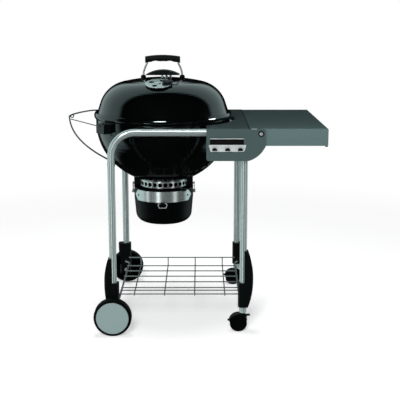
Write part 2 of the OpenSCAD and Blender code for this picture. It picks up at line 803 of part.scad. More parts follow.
// A lengthwise wire of the rack: its front end dips and its rear end is bent up
module depth_wire(x, z) {
    bend = 8;
    rear_y = rack_rear_y - 2 * rack_wire_r - weld;
    translate([x, rack_front_y + bend, z]) rotate([-90, 0, 0])
        cylinder(r = rack_wire_r, h = rear_y - rack_front_y - 2 * bend);
    translate([x, rear_y - bend, z + bend]) rotate([90, 0, 90]) rotate([0, 0, -90])
        rotate_extrude(angle = 90) translate([bend, 0]) circle(r = rack_wire_r);
    translate([x, rear_y, z + bend]) cylinder(r = rack_wire_r, h = rack_z + rack_rise + 4 - z - bend);
    translate([x, rack_front_y + bend, z - bend]) rotate([90, 0, 90]) rotate([0, 0, 90])
        rotate_extrude(angle = 80) translate([bend, 0]) circle(r = rack_wire_r);
}

// A spot-welded wire rack whose rear edge is bent up
module rack() {
    wire_z = rack_z + 2 * rack_wire_r + weld;
    color([0.42, 0.42, 0.42]) at_kettle() {
        for (y = [-225, -176, -140, -60, 20, 100, 180])
            bar([rack_x0, y, rack_z], [rack_x1, y, rack_z], rack_wire_r);
        bar([rack_x0 + 8, rack_rear_y, rack_z + rack_rise],
            [rack_x1 - 8, rack_rear_y, rack_z + rack_rise], rack_wire_r);
        for (i = [-1.5:1.5]) depth_wire((rack_x0 + rack_x1) / 2 + 125 * i, wire_z, $fn = 32);
    }
}

// Two rails between the leg sleeves, bent in to carry the rack
module rack_rails() {
    rail_low = rack_z - rack_wire_r - rack_rail_r - 0.1;
    reach = frame_y - sleeve_d / 2 - seat;
    color([0.42, 0.42, 0.42]) at_kettle() {
        rod([[-left_leg_x, -reach, rail_low], [-left_leg_x, -reach + 14, rail_low],
             [rack_x0 + 4, -reach + 34, rail_low], [rack_x0 + 4, reach - 34, rail_low],
             [-left_leg_x, reach - 14, rail_low], [-left_leg_x, reach, rail_low]], rack_rail_r,
            $fn = 32);
        rod([[right_leg_x, -reach, rail_low], [right_leg_x, -reach + 14, rail_low],
             [rack_x1 - 4, -reach + 34, rail_low], [rack_x1 - 4, reach - 34, rail_low],
             [right_leg_x, reach - 14, rail_low], [right_leg_x, reach, rail_low]], rack_rail_r,
            $fn = 32);
    }
}

// ---------------------------------------------------------------- wheels and casters

wheel_out = frame_y + 72;              // outer face of the large wheels
wheel_in = wheel_out - wheel_w;
cap_r = wheel_r - 11;
cap_h = 5;

module wheel_axles() {
    color([0.6, 0.6, 0.6]) at_kettle() both_sides() translate([-left_leg_x, 0, wheel_r])
        rotate([90, 0, 0]) {
            translate([0, 0, frame_y - 20]) cylinder(r = axle_r, h = wheel_out - 10 - frame_y + 20);
            translate([0, 0, frame_y + 17.5]) cylinder(r = 10, h = wheel_in - frame_y - 17.5 - gap);
            translate([0, 0, frame_y - 22]) cylinder(r = 9, h = 4.5);
        }
}

// Section of the wheel: a rounded tread, a web behind the cap and a hub
module tyre() {
    edge = 9;
    at_kettle() translate([-left_leg_x, -wheel_out, wheel_r]) rotate([-90, 0, 0]) difference() {
        rotate_extrude($fn = 128) polygon(concat(
            [[axle_r + run, cap_h + 1], [cap_r - 4, cap_h + 1], [cap_r + seat, cap_h - 1],
             [cap_r + seat, 1.5], [cap_r + 2, 0]],
            arc(wheel_r - edge, edge, edge, -80, 0, 6),
            arc(wheel_r - edge, wheel_w - edge, edge, 0, 80, 6),
            [[wheel_r - 14, wheel_w], [wheel_r - 14, 14], [20, 14], [18, wheel_w],
             [axle_r + run, wheel_w]]));
    }
}

module hub_cap() {
    at_kettle() translate([-left_leg_x, -wheel_out, wheel_r]) rotate([-90, 0, 0])
        rotate_extrude($fn = 128) polygon([[0, 0], [cap_r - 3, 0], [cap_r, 1.6], [cap_r, cap_h - 1.2],
            [cap_r - 5, cap_h + 0.8], [cap_r - 9, cap_h + 0.8], [cap_r - 9, cap_h - 2],
            [0, cap_h - 2]]);
}

module tyre_front() {
    color([0.05, 0.05, 0.05]) tyre();
}

module tyre_rear() {
    color([0.05, 0.05, 0.05]) mirror([0, 1, 0]) tyre();
}

module hub_cap_front() {
    color([0.55, 0.6, 0.6]) hub_cap();
}

module hub_cap_rear() {
    color([0.55, 0.6, 0.6]) mirror([0, 1, 0]) hub_cap();
}

caster_trail = 18;
stem_r = 5.5;
stem_len = 34;
caster_axle_r = 4;
caster_web = 9;
caster_tread = 14;
brake_x = 14;
brake_z = 2 * caster_r - 5;

// Places its children at the foot of the front right leg
module at_caster() {
    at_kettle() translate([right_leg_x, -frame_y, 0]) children();
}

module caster_sockets() {
    color([0.1, 0.1, 0.1]) both_sides() at_caster() difference() {
        translate([0, 0, right_tube_low + 0.2])
            cylinder(r = tube_r - tube_wall - seat, h = stem_len + 4);
        translate([0, 0, right_tube_low - eps]) cylinder(r = stem_r + run, h = stem_len + 4);
    }
}

module caster_fork() {
    at_caster() difference() {
        union() {
            translate([0, 0, 2 * caster_r + 1.5])
                cylinder(r = 11, h = right_tube_low - 2 * caster_r - 1.5 - gap);
            translate([0, 0, right_tube_low - 4]) cylinder(r = stem_r, h = stem_len + 3);
            translate([-caster_trail, 0, caster_r]) rotate([90, 0, 0])
                cylinder(r = caster_r - 4, h = caster_web, center = true);
            translate([-caster_trail, -caster_web / 2, caster_r])
                cube([caster_trail + 8, caster_web, caster_r + 2]);
            // fender over the twin wheels
            translate([-caster_trail, 0, caster_r]) rotate([90, 0, 0]) rotate([0, 0, 22])
                rotate_extrude(angle = 146, $fn = 64)
                    translate([caster_r + 1, -caster_web / 2 - caster_tread])
                        square([2.6, caster_web + 2 * caster_tread]);
            // ears and pin of the brake pedal
            for (s = [-1, 1]) translate([brake_x - 8, s * 5.6 - 1.3, brake_z - 4]) cube([12, 2.6, 8]);
            translate([brake_x, 0, brake_z]) rotate([90, 0, 0])
                cylinder(r = 1.6, h = 11, center = true, $fn = 24);
            // release tab
            translate([-caster_trail - caster_r - 9, -6, caster_r + 8]) cube([8.5, 12, 5]);
        }
        translate([-caster_trail, 0, caster_r]) rotate([90, 0, 0])
            cylinder(r = caster_axle_r + run, h = 60, center = true, $fn = 48);
        translate([brake_x - 4.2, -4.2, brake_z - 4.5]) cube([9, 8.4, 4.4 - 1.6]);
    }
}

module caster_wheels() {
    at_caster() translate([-caster_trail, 0, caster_r]) rotate([90, 0, 0]) {
        for (s = [0, 1]) mirror([0, 0, s]) translate([0, 0, caster_web / 2 + gap])
            rotate_extrude($fn = 96) polygon([[0, 0], [caster_r - 2, 0], [caster_r, 2],
                [caster_r, caster_tread - 5], [caster_r - 1.5, caster_tread - 2],
                [caster_r - 5, caster_tread - 0.5], [caster_r - 10, caster_tread - 0.5],
                [caster_r - 12, caster_tread - 3], [8, caster_tread - 3], [7, caster_tread - 0.5],
                [0, caster_tread - 0.5]]);
        cylinder(r = caster_axle_r, h = caster_web + 2, center = true, $fn = 48);
    }
}

module brake_pedal() {
    at_caster() translate([brake_x, 0, brake_z]) difference() {
        union() {
            rotate([90, 0, 0]) cylinder(r = 3.2, h = 8, center = true, $fn = 32);
            translate([0, -4, 0]) cube([5, 8, 3.2]);
            translate([4.4, -9, 0.4]) cube([11, 18, 2.8]);
        }
        rotate([90, 0, 0]) cylinder(r = 1.6 + run, h = 20, center = true, $fn = 24);
    }
}

module caster_fork_front() {
    color([0.05, 0.05, 0.05]) caster_fork();
}

module caster_fork_rear() {
    color([0.05, 0.05, 0.05]) mirror([0, 1, 0]) caster_fork();
}

module caster_wheels_front() {
    color([0.04, 0.04, 0.04]) caster_wheels();
}

module caster_wheels_rear() {
    color([0.04, 0.04, 0.04]) mirror([0, 1, 0]) caster_wheels();
}

module brake_front() {
    color([0.05, 0.05, 0.05]) brake_pedal();
}

module brake_rear() {
    color([0.05, 0.05, 0.05]) mirror([0, 1, 0]) brake_pedal();
}

// ---------------------------------------------------------------- shelf and table

shelf_x0 = 182;
notch_r = lip_r + 13;
panel_top = table_z - sheet - seat;
panel_low = 708;
panel_x1 = 413;
pivot_x = 395;
pivot_z = table_z - 20;
pivot_r = 4;
table_y = panel_y - 5;
recess = [shelf_x0 + 14, shelf_x0 + 146, 770, 793];   // window: left, right, low, high

module side_shelf() {
    color([0.16, 0.2, 0.21]) at_kettle() {
        difference() {
            translate([shelf_x0, -panel_y, table_z - sheet])
                cube([table_x0 - gap * 3 - shelf_x0, 2 * panel_y, sheet]);
            translate([0, 0, table_z - 10]) cylinder(r = notch_r, h = 20, $fn = 180);
        }
        // turned-down edge of the notch
        intersection() {
            difference() {
                translate([0, 0, table_z - 16]) cylinder(r = notch_r + sheet, h = 15.5, $fn = 180);
                translate([0, 0, table_z - 20]) cylinder(r = notch_r, h = 40, $fn = 180);
            }
            translate([shelf_x0, -notch_r, 0]) cube([notch_r, 2 * notch_r, 2000]);
        }
    }
}

module panel_outline() {
    corner = 10;
    tail = [for (i = [0:10]) curve_at([347, panel_low], [392, 722], [panel_x1, 766], i / 10)];
    polygon(concat(arc(shelf_x0 + corner, panel_low + corner, corner, 180, 270, 6), tail,
        [[panel_x1, panel_top - 4], [panel_x1 - 4, panel_top], [shelf_x0, panel_top]]));
}

module side_panel(with_recess) {
    at_kettle() difference() {
        union() {
            translate([0, -panel_y + sheet, 0]) rotate([90, 0, 0])
                linear_extrude(height = sheet) panel_outline();
            translate([shelf_x0 + 10, -panel_y + sheet / 2, panel_low])
                cube([150, 10, sheet]);
            translate([shelf_x0, -panel_y + sheet / 2, panel_low + 10])
                cube([sheet, 10, panel_top - panel_low - 12]);
        }
        translate([pivot_x, -panel_y, pivot_z]) rotate([90, 0, 0])
            cylinder(r = pivot_r + seat, h = 20, center = true, $fn = 48);
        if (with_recess) translate([recess[0], -panel_y - 5, recess[2]])
            cube([recess[1] - recess[0], 12, recess[3] - recess[2]]);
    }
}

module front_panel() {
    color([0.2, 0.25, 0.26]) side_panel(true);
}

module rear_panel() {
    color([0.2, 0.25, 0.26]) mirror([0, 1, 0]) side_panel(false);
}

module shelf_clips() {
    inner_y = panel_y - sheet - seat;
    clip_w = 36;
    color([0.08, 0.08, 0.08]) at_kettle() both_sides() difference() {
        union() {
            translate([shelf_x0 + 12, -inner_y, rail_z - 6])
                cube([clip_w, inner_y - frame_y + 10, table_z - sheet - seat - rail_z + 6]);
            translate([right_leg_x - 14, -inner_y, panel_low + 4])
                cube([28, inner_y - frame_y, 20]);
        }
        translate([0, -frame_y, 0]) tube_path(tube_r + seat);
    }
}

module tool_recess() {
    color([0.1, 0.12, 0.12]) at_kettle() {
        translate([recess[0] - 3, -panel_y + sheet + seat, recess[2] - 3]) difference() {
            cube([recess[1] - recess[0] + 6, 8, recess[3] - recess[2] + 6]);
            translate([3, -eps, 3]) cube([recess[1] - recess[0], 8, recess[3] - recess[2]]);
        }
        // rolled lip over the window
        translate([recess[0], -panel_y - 2.2 - seat, recess[3] + 3]) rotate([0, 90, 0])
            cylinder(r = 2.2, h = recess[1] - recess[0], $fn = 32);
    }
}

hook_w = 20;

// A tool hook: a tongue turned out and up, with a round end
module tool_hook() {
    out = 14;
    translate([-hook_w / 2, -out, 0]) cube([hook_w, out, 2]);
    intersection() {
        translate([0, -out + 2, 2]) rotate([90, 0, 0]) cylinder(r = hook_w / 2, h = 2, $fn = 64);
        translate([-hook_w, -out, 1]) cube([2 * hook_w, 4, hook_w]);
    }
}

module hook_rail() {
    low = recess[2] - 25;
    high = recess[2] + 2;
    left = recess[0] - 5;
    right = recess[1] + 9;
    color([0.85, 0.85, 0.86]) at_kettle() translate([0, -panel_y - seat, 0]) {
        rotate([90, 0, 0]) linear_extrude(height = sheet)
            polygon([[left, high], [left + 6, low + 3], [left + 10, low], [right - 10, low],
                [right - 6, low + 3], [right, high]]);
        for (x = [-50, 0, 50]) translate([(left + right) / 2 + x, -sheet / 2, low + 5]) tool_hook();
    }
}

table_edge_r = 5;         // bend between the table's top and its skirt

// The table's outer form, or with an inset the form of its inside
module table_form(inset) {
    h = 4 * skirt_h;
    bend = table_edge_r - inset;
    intersection() {
        translate([table_x0 - inset, 0, table_z - inset - h / 2]) rotate([90, 0, 90])
            linear_extrude(height = table_len + 2 * inset) rounded_plate(2 * (table_y - inset), h, bend);
        translate([table_x1 - inset - table_len, 0, table_z - inset - h / 2]) rotate([90, 0, 0])
            linear_extrude(height = 2 * table_y, center = true) rounded_plate(2 * table_len, h, bend);
    }
}

// A sheet pressed over at three sides; the skirt begins at the pivots
module folding_table() {
    end_r = 16.5;
    color([0.16, 0.2, 0.21]) at_kettle() difference() {
        table_form(0);
        table_form(sheet);
        translate([table_x0 - eps, -panel_y, table_z - 5 * skirt_h])
            cube([2 * table_len, 2 * panel_y, 4 * skirt_h]);
        difference() {
            translate([table_x0 - eps, -panel_y, table_z - 2 * skirt_h])
                cube([pivot_x - table_x0 + eps, 2 * panel_y, 2 * skirt_h - sheet]);
            translate([pivot_x, 0, pivot_z]) rotate([90, 0, 0])
                cylinder(r = end_r, h = 3 * panel_y, center = true);
            translate([pivot_x - end_r, -panel_y, pivot_z]) cube([end_r + eps, 2 * panel_y, skirt_h]);
        }
        translate([pivot_x, 0, pivot_z]) rotate([90, 0, 0])
            cylinder(r = pivot_r + run, h = 3 * panel_y, center = true, $fn = 48);
    }
}

module table_bumpers() {
    color([0.06, 0.04, 0.04]) at_kettle() both_sides()
        translate([table_x1 - 6, -table_y + 5.5, table_z - skirt_h - 4 - seat]) {
            cylinder(r = 5, h = 4, $fn = 48);
            cylinder(r = 3, h = 12, $fn = 48);
        }
}

module pivot_bolts() {
    head = panel_y + 1.4;
    nut = table_y - sheet - gap;
    color([0.85, 0.85, 0.85]) at_kettle() both_sides()
        translate([pivot_x, 0, pivot_z]) rotate([90, 0, 0]) {
            translate([0, 0, nut - 5]) cylinder(r = pivot_r, h = head - nut + 5, $fn = 48);
            translate([0, 0, head]) cylinder(r = 7, h = 1.6, $fn = 48);
            translate([0, 0, head + 1.6]) cylinder(r1 = 6.6, r2 = 3.6, h = 2.6, $fn = 48);
            translate([0, 0, nut - 5]) cylinder(r = 7, h = 5, $fn = 6);
        }
}

module pivot_washers() {
    color([0.03, 0.03, 0.03]) at_kettle() both_sides()
        translate([pivot_x, 0, pivot_z]) rotate([90, 0, 0]) difference() {
            union() {
                translate([0, 0, panel_y + seat]) cylinder(r = 12, h = 1.2, $fn = 64);
                translate([0, 0, table_y + gap])
                    cylinder(r = 9, h = panel_y - sheet - seat - table_y - gap, $fn = 64);
            }
            cylinder(r = pivot_r + seat, h = 2 * panel_y, $fn = 48);
        }
}

// ---------------------------------------------------------------- lid holder

corner = [-holder_r, 0, holder_z];
foot = [-left_leg_x, -frame_y + tube_r + holder_wire_r + 0.2, 700];
arc_end = 147;
holder_bracket_r = bowl_r + 34;

front_bend = [-372, -170, 760];        // control point of the front wire's sweep

// One wire: from the rear bracket along the arc to the corner, then down to the front leg
module holder_wire() {
    arc_start = holder_r * [cos(arc_end), sin(arc_end), 0] + [0, 0, holder_z];
    along = [sin(arc_end), -cos(arc_end), 0];
    rear_end = (holder_bracket_r + 4) * [cos(130), sin(130), 0] + [0, 0, 824];
    rear = [for (i = [6:-1:1]) curve_at(arc_start, arc_start + 72 * along, rear_end, i / 6)];
    bow = [for (i = [0:9]) let (a = arc_end + (180 - arc_end) * i / 10)
        holder_r * [cos(a), sin(a), 0] + [0, 0, holder_z]];
    front = [for (i = [0:14]) curve_at(corner, front_bend, foot, i / 14)];
    eye_r = 6.5;
    color([0.06, 0.06, 0.06]) at_kettle() {
        swept_wire(concat(rear, bow, front, [foot - [0, 0, 6], foot - [0, 0, 24]]),
            holder_wire_r, 12, [1, 0, 0.35]);
        // small eye at the corner, on the kettle's side
        translate(corner + [holder_wire_r + 2 + eye_r + 0.2, 0, 1]) rotate([90, 0, 0])
            rotate_extrude($fn = 48) translate([eye_r, 0]) circle(r = 2, $fn = 24);
    }
}

stay_r = 2;

module holder_stay() {
    from = curve_at(corner, front_bend, foot, 0.06) + [holder_wire_r + stay_r + 0.4, 0, 0];
    to = (holder_bracket_r + stay_r + gap) * [cos(219), sin(219), 0] + [0, 0, 826];
    color([0.8, 0.8, 0.8]) at_kettle() bar(from, to, stay_r, $fn = 24);
}

module holder_brackets() {
    color([0.05, 0.05, 0.05]) at_kettle() {
        for (a = [130, 219]) rotate([0, 0, a]) difference() {
            translate([bowl_r * 0.9, -28, 796])
                cube([holder_bracket_r - bowl_r * 0.9, 56, 38]);
            bowl_shape(-seat, rim_z);
            translate([0, 0, bowl_z - 60]) bowl_shape(kettle_wall, rim_z);
            translate([bowl_r * 0.7, -24, 790]) cube([holder_bracket_r - bowl_r * 0.7 - 4, 48, 40]);
        }
        // saddle behind the front leg that holds the wire's foot
        translate([-left_leg_x, -frame_y, foot[2] - 18]) difference() {
            intersection() {
                union() {
                    cylinder(r = tube_r + 2.2, h = 12);
                    translate([-7, 0, 0]) cube([14, foot[1] + frame_y + holder_wire_r + 3, 12]);
                }
                translate([-20, 5, -eps]) cube([40, 40, 20]);
            }
            translate([0, 0, -eps]) cylinder(r = tube_r + seat, h = 20);
            translate([0, foot[1] + frame_y, -eps]) cylinder(r = holder_wire_r + 0.4, h = 20);
        }
    }
}

bowl();
grate_tabs();
charcoal_grate();
cooking_grate();
lid();
handle_rod();
handle_grip();
handle_feet();
heat_shield();
shield_spacer();
damper_disc();
damper_tab();
damper_rivet();
vent_ring();
catcher_brackets();
sweeper_blades();
sweeper_lever();
ash_pot();
pot_band();
clip_pins();
clip_left();
clip_right();
pull_block();
pull_ring();
front_frame();
rear_frame();
bowl_brackets();
bracket_bolts();
sleeve_front_left();
sleeve_rear_left();
sleeve_front_right();
sleeve_rear_right();
rack();
rack_rails();
wheel_axles();
tyre_front();
tyre_rear();
hub_cap_front();
hub_cap_rear();
caster_sockets();
caster_fork_front();
caster_fork_rear();
caster_wheels_front();
caster_wheels_rear();
brake_front();
brake_rear();
side_shelf();
front_panel();
rear_panel();
shelf_clips();
tool_recess();
hook_rail();
folding_table();
table_bumpers();
pivot_bolts();
pivot_washers();
holder_wire();
holder_stay();
holder_brackets();
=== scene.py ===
"""Looks of the kettle grill: materials, studio light, floor and camera round the exact model."""
import math

import bpy
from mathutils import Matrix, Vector

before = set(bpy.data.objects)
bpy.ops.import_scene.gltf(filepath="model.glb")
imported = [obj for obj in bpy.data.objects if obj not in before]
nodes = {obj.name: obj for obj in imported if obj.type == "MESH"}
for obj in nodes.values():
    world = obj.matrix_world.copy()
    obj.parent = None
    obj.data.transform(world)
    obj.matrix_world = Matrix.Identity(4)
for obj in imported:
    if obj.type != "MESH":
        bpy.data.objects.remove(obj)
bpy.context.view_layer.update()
scene = bpy.context.scene

KETTLE_X = -0.126875                # the kettle's axis
CENTRE = (0, 0, 0.6)                # what most lamps point at
WHITE = (1.0, 1.0, 1.0)
SOFT_WHITE = (0.95, 1.0, 0.99)      # what matt surfaces are lit by
TENT_WHITE = (0.80, 1.0, 0.98)      # what mirrors show


# ------------------------------------------------------------------ helpers
def place_object(name, data, place=(0, 0, 0), turn=(0, 0, 0)):
    o = bpy.data.objects.new(name, data)
    scene.collection.objects.link(o)
    o.location = place
    o.rotation_euler = turn
    return o


def set_piece(name, mesh, place=(0, 0, 0), turn=(0, 0, 0), scale=(1, 1, 1)):
    """A piece of the set round the part."""
    o = place_object(name, mesh, place, turn)
    o.scale = scale
    return o


def group(name, members=()):
    """A collection that a lamp's light or shadow is linked to."""
    made = bpy.data.collections.new(name)
    for member in members:
        made.objects.link(member)
    return made


def top_of(o):
    return max((o.matrix_world @ Vector(corner)).z for corner in o.bound_box)


def edge_of(name, axis, pick):
    """The least or greatest coordinate of a node's vertices along an axis."""
    o = nodes[name]
    return pick((o.matrix_world @ v.co)[axis] for v in o.data.vertices)


class Tree:
    """A shader's node tree, built by calls. add gives back a node, the others an output of one."""

    def __init__(self, owner, clear=True):
        owner.use_nodes = True
        self.nodes, self.links = owner.node_tree.nodes, owner.node_tree.links
        if clear:
            self.nodes.clear()

    def add(self, kind, values=None, links=None, **settings):
        """A new node: values and links go to its inputs, settings to the node itself."""
        node = self.nodes.new("ShaderNode" + kind)
        for key, value in settings.items():
            setattr(node, key, value)
        for key, value in (values or {}).items():
            node.inputs[key].default_value = value
        for key, socket in (links or {}).items():
            self.links.new(socket, node.inputs[key])
        return node

    def glow(self, kind, colour, strength):
        """An emission or background shader."""
        return self.add(kind, {"Color": (*colour, 1), "Strength": strength}).outputs[0]

    def mix(self, fac, first, second):
        return self.add("MixShader", links={"Fac": fac, 1: first, 2: second}).outputs[0]

    def smooth(self, value, low, high):
        """0 at low and beyond, 1 at high and beyond, with a smooth step between them."""
        return self.add("MapRange", {"From Min": low, "From Max": high}, {"Value": value},
                        interpolation_type="SMOOTHSTEP").outputs["Result"]


# ------------------------------------------------------------------ camera
cam_data = bpy.data.cameras.new("camera")
cam_data.lens = 76.7
cam_data.sensor_width = 36
cam_data.shift_x = -0.005
cam_data.shift_y = -0.06
scene.camera = place_object("camera", cam_data, (0.0314, -3.618, 1.2736),
                            (math.radians(90 - 10.79), 0, math.radians(-0.115)))

# ------------------------------------------------------------------ lamps
ENAMELLED = ["bowl", "lid"]
TUBES = ["front_frame", "rear_frame"]
METALS = TUBES + ["damper_disc", "vent_ring", "pot_band", "hook_rail", "handle_rod", "pull_ring",
                  "pivot_bolts", "shield_spacer", "clip_left", "clip_right", "tool_recess"]
LOW_TOP = 0.35                      # what is lower than this shades the floor
low_nodes = [o for o in nodes.values() if top_of(o) < LOW_TOP]

enamel_only = group("enamel_only", [nodes[name] for name in ENAMELLED])
not_enamel = group("not_enamel", [o for name, o in nodes.items() if name not in ENAMELLED])
tubes_only = group("tubes_only", [nodes[name] for name in TUBES])
metals_only = group("metals_only", [nodes[name] for name in METALS])
matt_only = group("matt_only", [o for name, o in nodes.items() if name not in METALS + ENAMELLED])
table_only = group("table_only", [nodes["folding_table"], nodes["side_shelf"]])
floor_only = group("floor_only")
whole_part = group("whole_part", nodes.values())
near_floor = group("near_floor", low_nodes)
over_floor = group("over_floor", [*low_nodes, nodes["bowl"], nodes["ash_pot"]])


def area_light(name, place, target, size, power, receivers, size_y=None, blockers=whole_part,
               spread=180):
    """A soft box that lights only its receivers and is shaded only by its blockers."""
    data = bpy.data.lights.new(name, "AREA")
    data.energy = power
    data.size = size
    data.spread = math.radians(spread)
    if size_y:
        data.shape = "RECTANGLE"
        data.size_y = size_y
    aim = (Vector(target) - Vector(place)).to_track_quat("-Z", "Y").to_euler()
    lamp = place_object(name, data, place, aim)
    lamp.light_linking.receiver_collection = receivers
    lamp.light_linking.blocker_collection = blockers
    return lamp


area_light("key", (-1.8, -3.4, 2.9), CENTRE, 0.9, 62, not_enamel)
fill = area_light("fill", (0.4, -4.4, 0.9), CENTRE, 1.8, 100, matt_only, 1.4)
fill.visible_glossy = False

# Tall boxes that reach below the floor: upright tubes seen from above mirror what is down there
area_light("box_front", (-1.3, -3.5, 0.0), (-0.2, 0, 0), 0.7, 27, metals_only, 4.0)
area_light("box_left", (-3.3, -1.7, 0.0), (-0.2, 0, 0), 0.6, 12, metals_only, 4.0)
area_light("box_right", (2.5, -2.6, 0.0), (-0.2, 0, 0), 0.8, 14, metals_only, 4.0)
area_light("strip_box", (0.5, -3.2, 2.6), (0.1, -0.34, 0.77), 1.4, 15, metals_only, 1.2)
area_light("rail_box", (-0.3, -2.4, 3.5), (KETTLE_X, -0.3, 0.82), 1.8, 60, tubes_only, 0.9)

# Two small lamps close to the lid's lip: their narrow beams give it a glint and miss the dome
area_light("lip_box", (-0.149, -0.744, 0.952), (KETTLE_X, -0.306, 0.85), 0.2, 0.22, enamel_only, 0.16,
           spread=40)
area_light("lip_side", (0.505, -0.2, 0.914), (0.06, -0.216, 0.85), 0.13, 0.1, enamel_only, 0.11,
           spread=36)
area_light("table_box", (0.4, -0.68, 1.1), (0.37, -0.34, 0.83), 0.9, 2.2, table_only, 0.1)

area_light("floor_key", (-0.9, -7.6, 5.6), CENTRE, 2.2, 500, floor_only, blockers=near_floor)
area_light("floor_top", (-0.3, 0.2, 4.0), CENTRE, 1.0, 55, floor_only, blockers=over_floor)

# ------------------------------------------------------------------ world and light tent
# The world: soft light for matt surfaces, the tent's white for mirrors, and pure white behind
AMBIENT = 0.12                      # strength of the soft light
world = bpy.data.worlds.new("studio")
scene.world = world
tree = Tree(world)
path = tree.add("LightPath").outputs
seen = tree.add("Math", links={0: path["Is Camera Ray"], 1: path["Is Transmission Ray"]},
                operation="MAXIMUM").outputs[0]
lit = tree.mix(path["Is Glossy Ray"], tree.glow("Background", SOFT_WHITE, AMBIENT),
               tree.glow("Background", TENT_WHITE, 1.0))
tree.add("OutputWorld", links={"Surface": tree.mix(seen, lit, tree.glow("Background", WHITE, 1.0))})

CLOTH_RADIUS = 9
CLOTH_RINGS = 24
CLOTH_SECTORS = 64
CLOTH_START = 0.5                   # degrees from the axis, so that no face has zero area
CLOTH_GLOW = 0.006                  # how far the cloth is from black
CLOTH_MIDDLE = (0, 0, 0.7)


def cloth(name, axis, to_angle, fade, scale=(1, 1, 1)):
    """Cap of a sphere round the object, up to an angle from an axis. It is black, and turns to the
    tent's white over the last fade degrees. Only glossy rays see it."""
    rings, sectors = CLOTH_RINGS, CLOTH_SECTORS
    points, faces = [], []
    for i in range(rings + 1):
        a = math.radians(CLOTH_START + (to_angle - CLOTH_START) * i / rings)
        for k in range(sectors):
            b = 2 * math.pi * k / sectors
            points.append((CLOTH_RADIUS * math.sin(a) * math.cos(b),
                           CLOTH_RADIUS * math.sin(a) * math.sin(b), CLOTH_RADIUS * math.cos(a)))
    for i in range(rings):
        for k in range(sectors):
            n = (k + 1) % sectors
            faces.append((i * sectors + k, i * sectors + n, (i + 1) * sectors + n, (i + 1) * sectors + k))
    mesh = bpy.data.meshes.new(name)
    mesh.from_pydata(points, [], faces)
    o = set_piece(name, mesh, CLOTH_MIDDLE, Vector(axis).to_track_quat("Z", "Y").to_euler(), scale)

    material = bpy.data.materials.new(name)
    tree = Tree(material)
    split = tree.add("SeparateXYZ", links={0: tree.add("TexCoord").outputs["Object"]})
    clear = tree.smooth(split.outputs["Z"], CLOTH_RADIUS * math.cos(math.radians(to_angle - fade)),
                        CLOTH_RADIUS * math.cos(math.radians(to_angle)))
    shade = tree.mix(clear, tree.glow("Emission", SOFT_WHITE, CLOTH_GLOW),
                     tree.add("BsdfTransparent").outputs[0])
    tree.add("OutputMaterial", links={"Surface": shade})
    mesh.materials.append(material)
    o.visible_camera = o.visible_diffuse = o.visible_transmission = o.visible_shadow = False


# Black cloth before, behind and below the object, as in a photographer's light tent
cloth("cloth_front", (0.139, -0.980, 0.14), 91, 10)
cloth("cloth_rear", (0, 0.94, -0.34), 44, 10, (1, 1.2, 1))
cloth("cloth_below", (0, 0, -1), 62, 14)

# ------------------------------------------------------------------ floor
FLOOR_SIDE = 60
FLOOR_GREY = 0.80
FLOOR_LIFT = 0.48                   # light of its own that brings the floor near to white
FLOOR_NEAR, FLOOR_FAR = 1.3, 3.0    # metres from the middle where it turns to pure white

h = FLOOR_SIDE / 2
floor_mesh = bpy.data.meshes.new("floor")
floor_mesh.from_pydata([(-h, -h, 0), (h, -h, 0), (h, h, 0), (-h, h, 0)], [], [(0, 1, 2, 3)])
floor = set_piece("floor", floor_mesh)
floor_only.objects.link(floor)
floor_material = bpy.data.materials.new("floor")
tree = Tree(floor_material)
matt = tree.add("BsdfDiffuse", {"Color": (FLOOR_GREY, FLOOR_GREY, FLOOR_GREY, 1)}).outputs[0]
near = tree.add("AddShader", links={0: matt, 1: tree.glow("Emission", WHITE, FLOOR_LIFT)}).outputs[0]
away = tree.add("VectorMath", links={0: tree.add("TexCoord").outputs["Object"]}, operation="LENGTH")
far = tree.smooth(away.outputs["Value"], FLOOR_NEAR, FLOOR_FAR)
tree.add("OutputMaterial", links={"Surface": tree.mix(far, near, tree.glow("Emission", WHITE, 1.0))})
floor_mesh.materials.append(floor_material)
floor.visible_glossy = False


# ------------------------------------------------------------------ materials
def linear(rgb):
    """Colour as it looks on a screen, 0 to 255, to the linear values that a shader takes."""
    out = []
    for v in rgb:
        v /= 255
        out.append(v / 12.92 if v <= 0.04045 else ((v + 0.055) / 1.055) ** 2.4)
    return out


COLOUR_STOPS = (0.35, 0.65)         # values of a noise where a colour is darkest and lightest
NOISE_RANGE = (0.3, 0.7)            # values of a noise that a roughness or a shade is spread over


